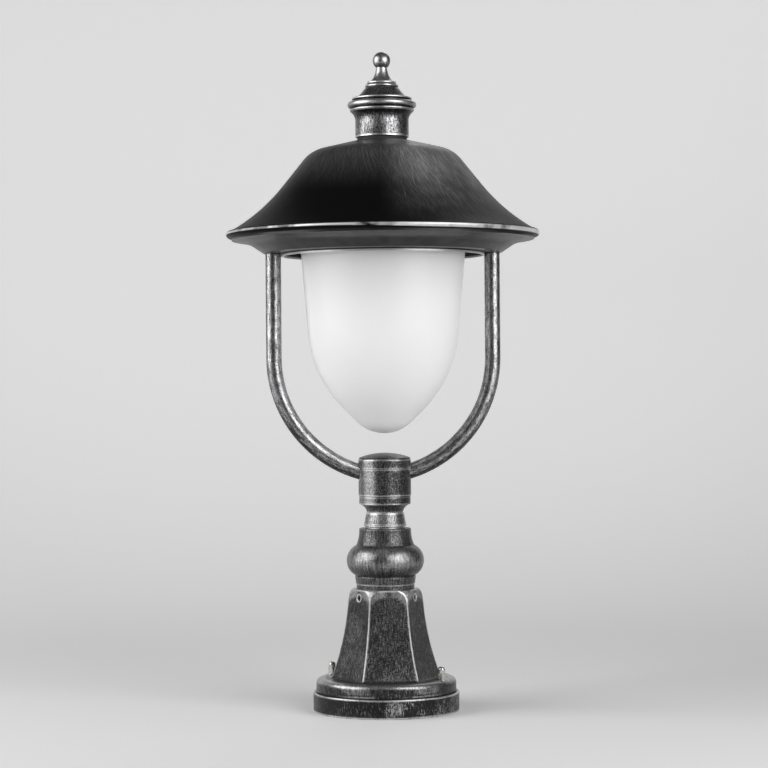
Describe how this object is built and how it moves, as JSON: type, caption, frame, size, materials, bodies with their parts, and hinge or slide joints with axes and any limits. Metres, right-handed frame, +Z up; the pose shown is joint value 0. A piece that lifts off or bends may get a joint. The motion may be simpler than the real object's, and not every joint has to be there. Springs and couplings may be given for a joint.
{
  "type": "garden lamp post",
  "caption": "Pillar-top garden lamp: hexagonal pedestal, turned baluster, two curved arms carrying a bell hood and an opal acorn diffuser.",
  "frame": {"origin": "centre of the mounting dish's underside", "axes": "+Z up along the lamp's axis, +X along the arms to the right, -Y towards a pedestal panel at the front"},
  "size_m": [0.322, 0.322, 0.6768],
  "materials": {
    "antique_casting": "black lacquer with dry-brushed silver",
    "antique_sheet": "satin black lacquer with streaked silver",
    "antique_tube": "black lacquer mottled with silver",
    "bright_casting": "bright silver lacquer",
    "nickel_fastener": "bright nickel plate",
    "zinc_steel": "zinc plate",
    "white_sheet": "white stove enamel",
    "black_rubber": "matte black rubber",
    "white_nylon": "white nylon",
    "brass": "plain brass",
    "opal_diffuser": "satin opal white",
    "porcelain": "white glazed porcelain",
    "bulb_glass": "frosted white lamp",
    "lead_sheath": "black rubber sheath"
  },
  "bodies": {
    "root": {"mounting_dish": "antique_casting", "pedestal": "antique_casting", "baluster": "antique_casting", "hub": "antique_casting", "hub_lid": "antique_casting", "collar": "antique_casting", "finial": "antique_casting", "hood": "antique_sheet", "tray": "antique_sheet", "left_arm": "antique_tube", "right_arm": "antique_tube", "neck_collar": "bright_casting", "flange_studs": "nickel_fastener", "flange_washers": "nickel_fastener", "acorn_nuts": "nickel_fastener", "set_screws": "zinc_steel", "block_screws": "zinc_steel", "tie_nipple": "zinc_steel", "nipple_nuts": "zinc_steel", "arm_bushes": "zinc_steel", "arm_washers": "zinc_steel", "arm_lock_nuts": "zinc_steel", "lamp_bridge": "zinc_steel", "hood_rod": "zinc_steel", "rod_nut": "zinc_steel", "gallery_screws": "zinc_steel", "holder_screws": "zinc_steel", "gallery_pan": "white_sheet", "base_gasket": "black_rubber", "cable_grommet": "black_rubber", "collar_seal": "black_rubber", "diffuser_seal": "black_rubber", "terminal_block": "white_nylon", "clamp_screws": "brass", "earth_screw": "brass", "holder_shell": "brass", "holder_contact": "brass", "diffuser": "opal_diffuser", "lampholder": "porcelain", "bulb": "bulb_glass", "supply_lead": "lead_sheath"}
  },
  "joints": []
}
